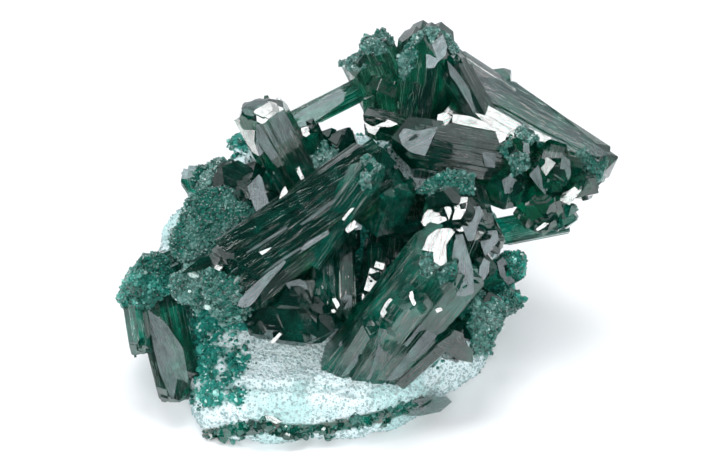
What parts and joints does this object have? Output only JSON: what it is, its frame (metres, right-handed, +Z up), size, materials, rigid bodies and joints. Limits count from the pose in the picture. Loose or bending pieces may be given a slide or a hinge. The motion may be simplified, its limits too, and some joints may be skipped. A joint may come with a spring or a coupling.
{
  "type": "dioptase mineral specimen",
  "caption": "Cabinet-size mineral specimen: sprays of dark emerald six-sided dioptase prisms, striated lengthwise, intergrown on a lump of pale blue-white matrix with a flat underside.",
  "frame": {"origin": "middle of the footprint, at the height of the flat underside", "axes": "+Z up from the table, -Y towards the viewer who faces the crystals, +X to that viewer's right"},
  "size_m": [0.0498, 0.0326, 0.0324],
  "materials": {
    "matrix": "rough, granular pale mineral crust (stands in for chrysocolla-stained quartz matrix)",
    "dioptase": "vitreous, striated along the prisms, dark emerald and barely translucent"
  },
  "bodies": {
    "root": {"matrix": "matrix", "upper_spray": "dioptase", "long_crystals": "dioptase", "front_crystals": "dioptase", "left_crystals": "dioptase", "foot_crystals": "dioptase", "right_crystals": "dioptase"}
  },
  "joints": []
}
